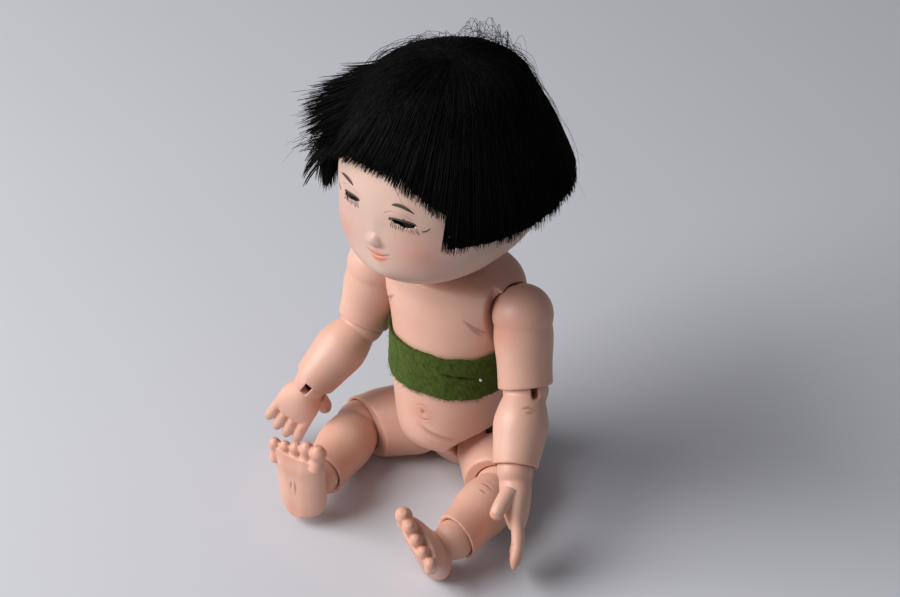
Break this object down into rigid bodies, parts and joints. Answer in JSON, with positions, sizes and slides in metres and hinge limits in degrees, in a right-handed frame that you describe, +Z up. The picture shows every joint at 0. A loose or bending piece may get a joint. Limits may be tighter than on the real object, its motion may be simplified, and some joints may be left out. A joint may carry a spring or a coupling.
{
  "type": "jointed doll",
  "caption": "Seated baby doll with ball joints strung on elastic, a black bob wig, glass eyes and a felt band pinned round the chest.",
  "frame": {"origin": "on the flat seat under the pelvis, between the hips", "axes": "+Z up, the doll faces -Y, its left side is +X"},
  "size_m": [0.1424, 0.1393, 0.2006],
  "materials": {
    "skin": "satin flesh paint",
    "face": "satin, pale, blushed cheeks",
    "hair": "straight black hair",
    "eye_glass": "dark polished glass",
    "felt": "olive green felt",
    "pin_head": "white bead",
    "elastic": "round elastic",
    "wire": "bright wire"
  },
  "bodies": {
    "torso": {"torso": "skin", "felt_band": "felt", "band_pin": "pin_head", "chest_ring": "wire"},
    "neck_cord": {"neck_elastic": "elastic"},
    "head": {"head": "face", "head_cap": "face", "wig": "hair", "left_eye": "eye_glass", "right_eye": "eye_glass", "neck_hook": "wire", "neck_bar": "wire"},
    "left_shoulder_cord": {"left_shoulder_elastic": "elastic"},
    "left_upper_arm": {"left_upper_arm": "skin"},
    "left_elbow_cord": {"left_elbow_elastic": "elastic"},
    "left_forearm": {"left_forearm": "skin"},
    "left_wrist_cord": {"left_wrist_elastic": "elastic"},
    "left_hand": {"left_hand": "skin", "left_hand_hook": "wire", "left_hand_pin": "wire"},
    "left_hip_cord": {"left_hip_elastic": "elastic"},
    "left_thigh": {"left_thigh": "skin"},
    "left_knee_cord": {"left_knee_elastic": "elastic"},
    "left_shin": {"left_shin": "skin"},
    "left_ankle_cord": {"left_ankle_elastic": "elastic"},
    "left_foot": {"left_foot": "skin", "left_foot_hook": "wire", "left_foot_pin": "wire"},
    "right_shoulder_cord": {"right_shoulder_elastic": "elastic"},
    "right_upper_arm": {"right_upper_arm": "skin"},
    "right_elbow_cord": {"right_elbow_elastic": "elastic"},
    "right_forearm": {"right_forearm": "skin"},
    "right_wrist_cord": {"right_wrist_elastic": "elastic"},
    "right_hand": {"right_hand": "skin", "right_hand_hook": "wire", "right_hand_pin": "wire"},
    "right_hip_cord": {"right_hip_elastic": "elastic"},
    "right_thigh": {"right_thigh": "skin"},
    "right_knee_cord": {"right_knee_elastic": "elastic"},
    "right_shin": {"right_shin": "skin"},
    "right_ankle_cord": {"right_ankle_elastic": "elastic"},
    "right_foot": {"right_foot": "skin", "right_foot_hook": "wire", "right_foot_pin": "wire"}
  },
  "joints": [
    {"name": "neck_twist", "type": "hinge", "parent": "torso", "child": "neck_cord", "pos_m": [0, -0.0035, 0.1085], "axis": [0, 0, -1], "range_deg": [-60, 60]},
    {"name": "neck_bend", "type": "hinge", "parent": "neck_cord", "child": "head", "pos_m": [0, -0.0035, 0.1085], "axis": [-0.9848, 0.1736, 0], "range_deg": [-10, 10]},
    {"name": "left_shoulder_twist", "type": "hinge", "parent": "torso", "child": "left_shoulder_cord", "pos_m": [0.035, -0.0075, 0.095], "axis": [-1, 0, 0], "range_deg": [-50, 90]},
    {"name": "left_shoulder_bend", "type": "hinge", "parent": "left_shoulder_cord", "child": "left_upper_arm", "pos_m": [0.035, -0.0075, 0.095], "axis": [0, 0.9583, -0.2859], "range_deg": [-55, 3]},
    {"name": "left_elbow_twist", "type": "hinge", "parent": "left_upper_arm", "child": "left_elbow_cord", "pos_m": [0.0421, -0.01627, 0.06559], "axis": [-0.2255, 0.2785, 0.9336], "range_deg": [-15, 90]},
    {"name": "left_elbow_bend", "type": "hinge", "parent": "left_elbow_cord", "child": "left_forearm", "pos_m": [0.0421, -0.01627, 0.06559], "axis": [-0.5675, -0.8164, 0.1065], "range_deg": [-4, 18]},
    {"name": "left_wrist_twist", "type": "hinge", "parent": "left_forearm", "child": "left_wrist_cord", "pos_m": [0.05061, -0.03843, 0.04267], "axis": [-0.2578, 0.6716, 0.6947], "range_deg": [-90, 35]},
    {"name": "left_wrist_bend", "type": "hinge", "parent": "left_wrist_cord", "child": "left_hand", "pos_m": [0.05061, -0.03843, 0.04267], "axis": [0, 0.719, -0.6951], "range_deg": [-30, 10]},
    {"name": "left_hip_twist", "type": "hinge", "parent": "torso", "child": "left_hip_cord", "pos_m": [0.0205, -0.0035, 0.0165], "axis": [0.2389, 0, -0.971], "range_deg": [-4, 30]},
    {"name": "left_hip_bend", "type": "hinge", "parent": "left_hip_cord", "child": "left_thigh", "pos_m": [0.0205, -0.0035, 0.0165], "axis": [-0.7925, -0.5779, -0.195], "range_deg": [-50, 18]},
    {"name": "left_knee_twist", "type": "hinge", "parent": "left_thigh", "child": "left_knee_cord", "pos_m": [0.03452, -0.02177, 0.01367], "axis": [0.6042, -0.7874, -0.1219], "range_deg": [-28, 60]},
    {"name": "left_knee_bend", "type": "hinge", "parent": "left_knee_cord", "child": "left_shin", "pos_m": [0.03452, -0.02177, 0.01367], "axis": [0.3011, 0.084, 0.9499], "range_deg": [-12, 12]},
    {"name": "left_ankle_twist", "type": "hinge", "parent": "left_shin", "child": "left_ankle_cord", "pos_m": [0.0364, -0.06162, 0.0166], "axis": [-0.047, 0.9962, -0.0732], "range_deg": [-60, 60]},
    {"name": "left_ankle_bend", "type": "hinge", "parent": "left_ankle_cord", "child": "left_foot", "pos_m": [0.0364, -0.06162, 0.0166], "axis": [0.5296, -0.0373, -0.8474], "range_deg": [-50, 3]},
    {"name": "right_shoulder_twist", "type": "hinge", "parent": "torso", "child": "right_shoulder_cord", "pos_m": [-0.035, -0.0075, 0.095], "axis": [-1, 0, 0], "range_deg": [-45, 90]},
    {"name": "right_shoulder_bend", "type": "hinge", "parent": "right_shoulder_cord", "child": "right_upper_arm", "pos_m": [-0.035, -0.0075, 0.095], "axis": [0, 0.9947, -0.1025], "range_deg": [0, 55]},
    {"name": "right_elbow_twist", "type": "hinge", "parent": "right_upper_arm", "child": "right_elbow_cord", "pos_m": [-0.04073, -0.01068, 0.06419], "axis": [0.1818, 0.1008, 0.9781], "range_deg": [-35, 10]},
    {"name": "right_elbow_bend", "type": "hinge", "parent": "right_elbow_cord", "child": "right_forearm", "pos_m": [-0.04073, -0.01068, 0.06419], "axis": [-0.9832, 0, 0.1828], "range_deg": [-40, 8]},
    {"name": "right_wrist_twist", "type": "hinge", "parent": "right_forearm", "child": "right_wrist_cord", "pos_m": [-0.05181, -0.0334, 0.04298], "axis": [0.3358, 0.6885, 0.6428], "range_deg": [-6, 90]},
    {"name": "right_wrist_bend", "type": "hinge", "parent": "right_wrist_cord", "child": "right_hand", "pos_m": [-0.05181, -0.0334, 0.04298], "axis": [-0.8168, -0.127, 0.5628], "range_deg": [0, 55]},
    {"name": "right_hip_twist", "type": "hinge", "parent": "torso", "child": "right_hip_cord", "pos_m": [-0.0205, -0.0035, 0.0165], "axis": [0.2389, 0, 0.971], "range_deg": [-3, 30]},
    {"name": "right_hip_bend", "type": "hinge", "parent": "right_hip_cord", "child": "right_thigh", "pos_m": [-0.0205, -0.0035, 0.0165], "axis": [0.5917, -0.7929, -0.1456], "range_deg": [-20, 48]},
    {"name": "right_knee_twist", "type": "hinge", "parent": "right_thigh", "child": "right_knee_cord", "pos_m": [-0.0392, -0.01694, 0.01367], "axis": [0.806, 0.5792, 0.1219], "range_deg": [-15, 15]},
    {"name": "right_knee_bend", "type": "hinge", "parent": "right_knee_cord", "child": "right_shin", "pos_m": [-0.0392, -0.01694, 0.01367], "axis": [0.1583, -0.0126, -0.9873], "range_deg": [-2, 18]},
    {"name": "right_ankle_twist", "type": "hinge", "parent": "right_shin", "child": "right_ankle_cord", "pos_m": [-0.03364, -0.05652, 0.01507], "axis": [0.1391, -0.9897, 0.0349], "range_deg": [-60, 60]},
    {"name": "right_ankle_bend", "type": "hinge", "parent": "right_ankle_cord", "child": "right_foot", "pos_m": [-0.03364, -0.05652, 0.01507], "axis": [-0.9897, -0.1377, 0.0391], "range_deg": [-25, 35]}
  ]
}
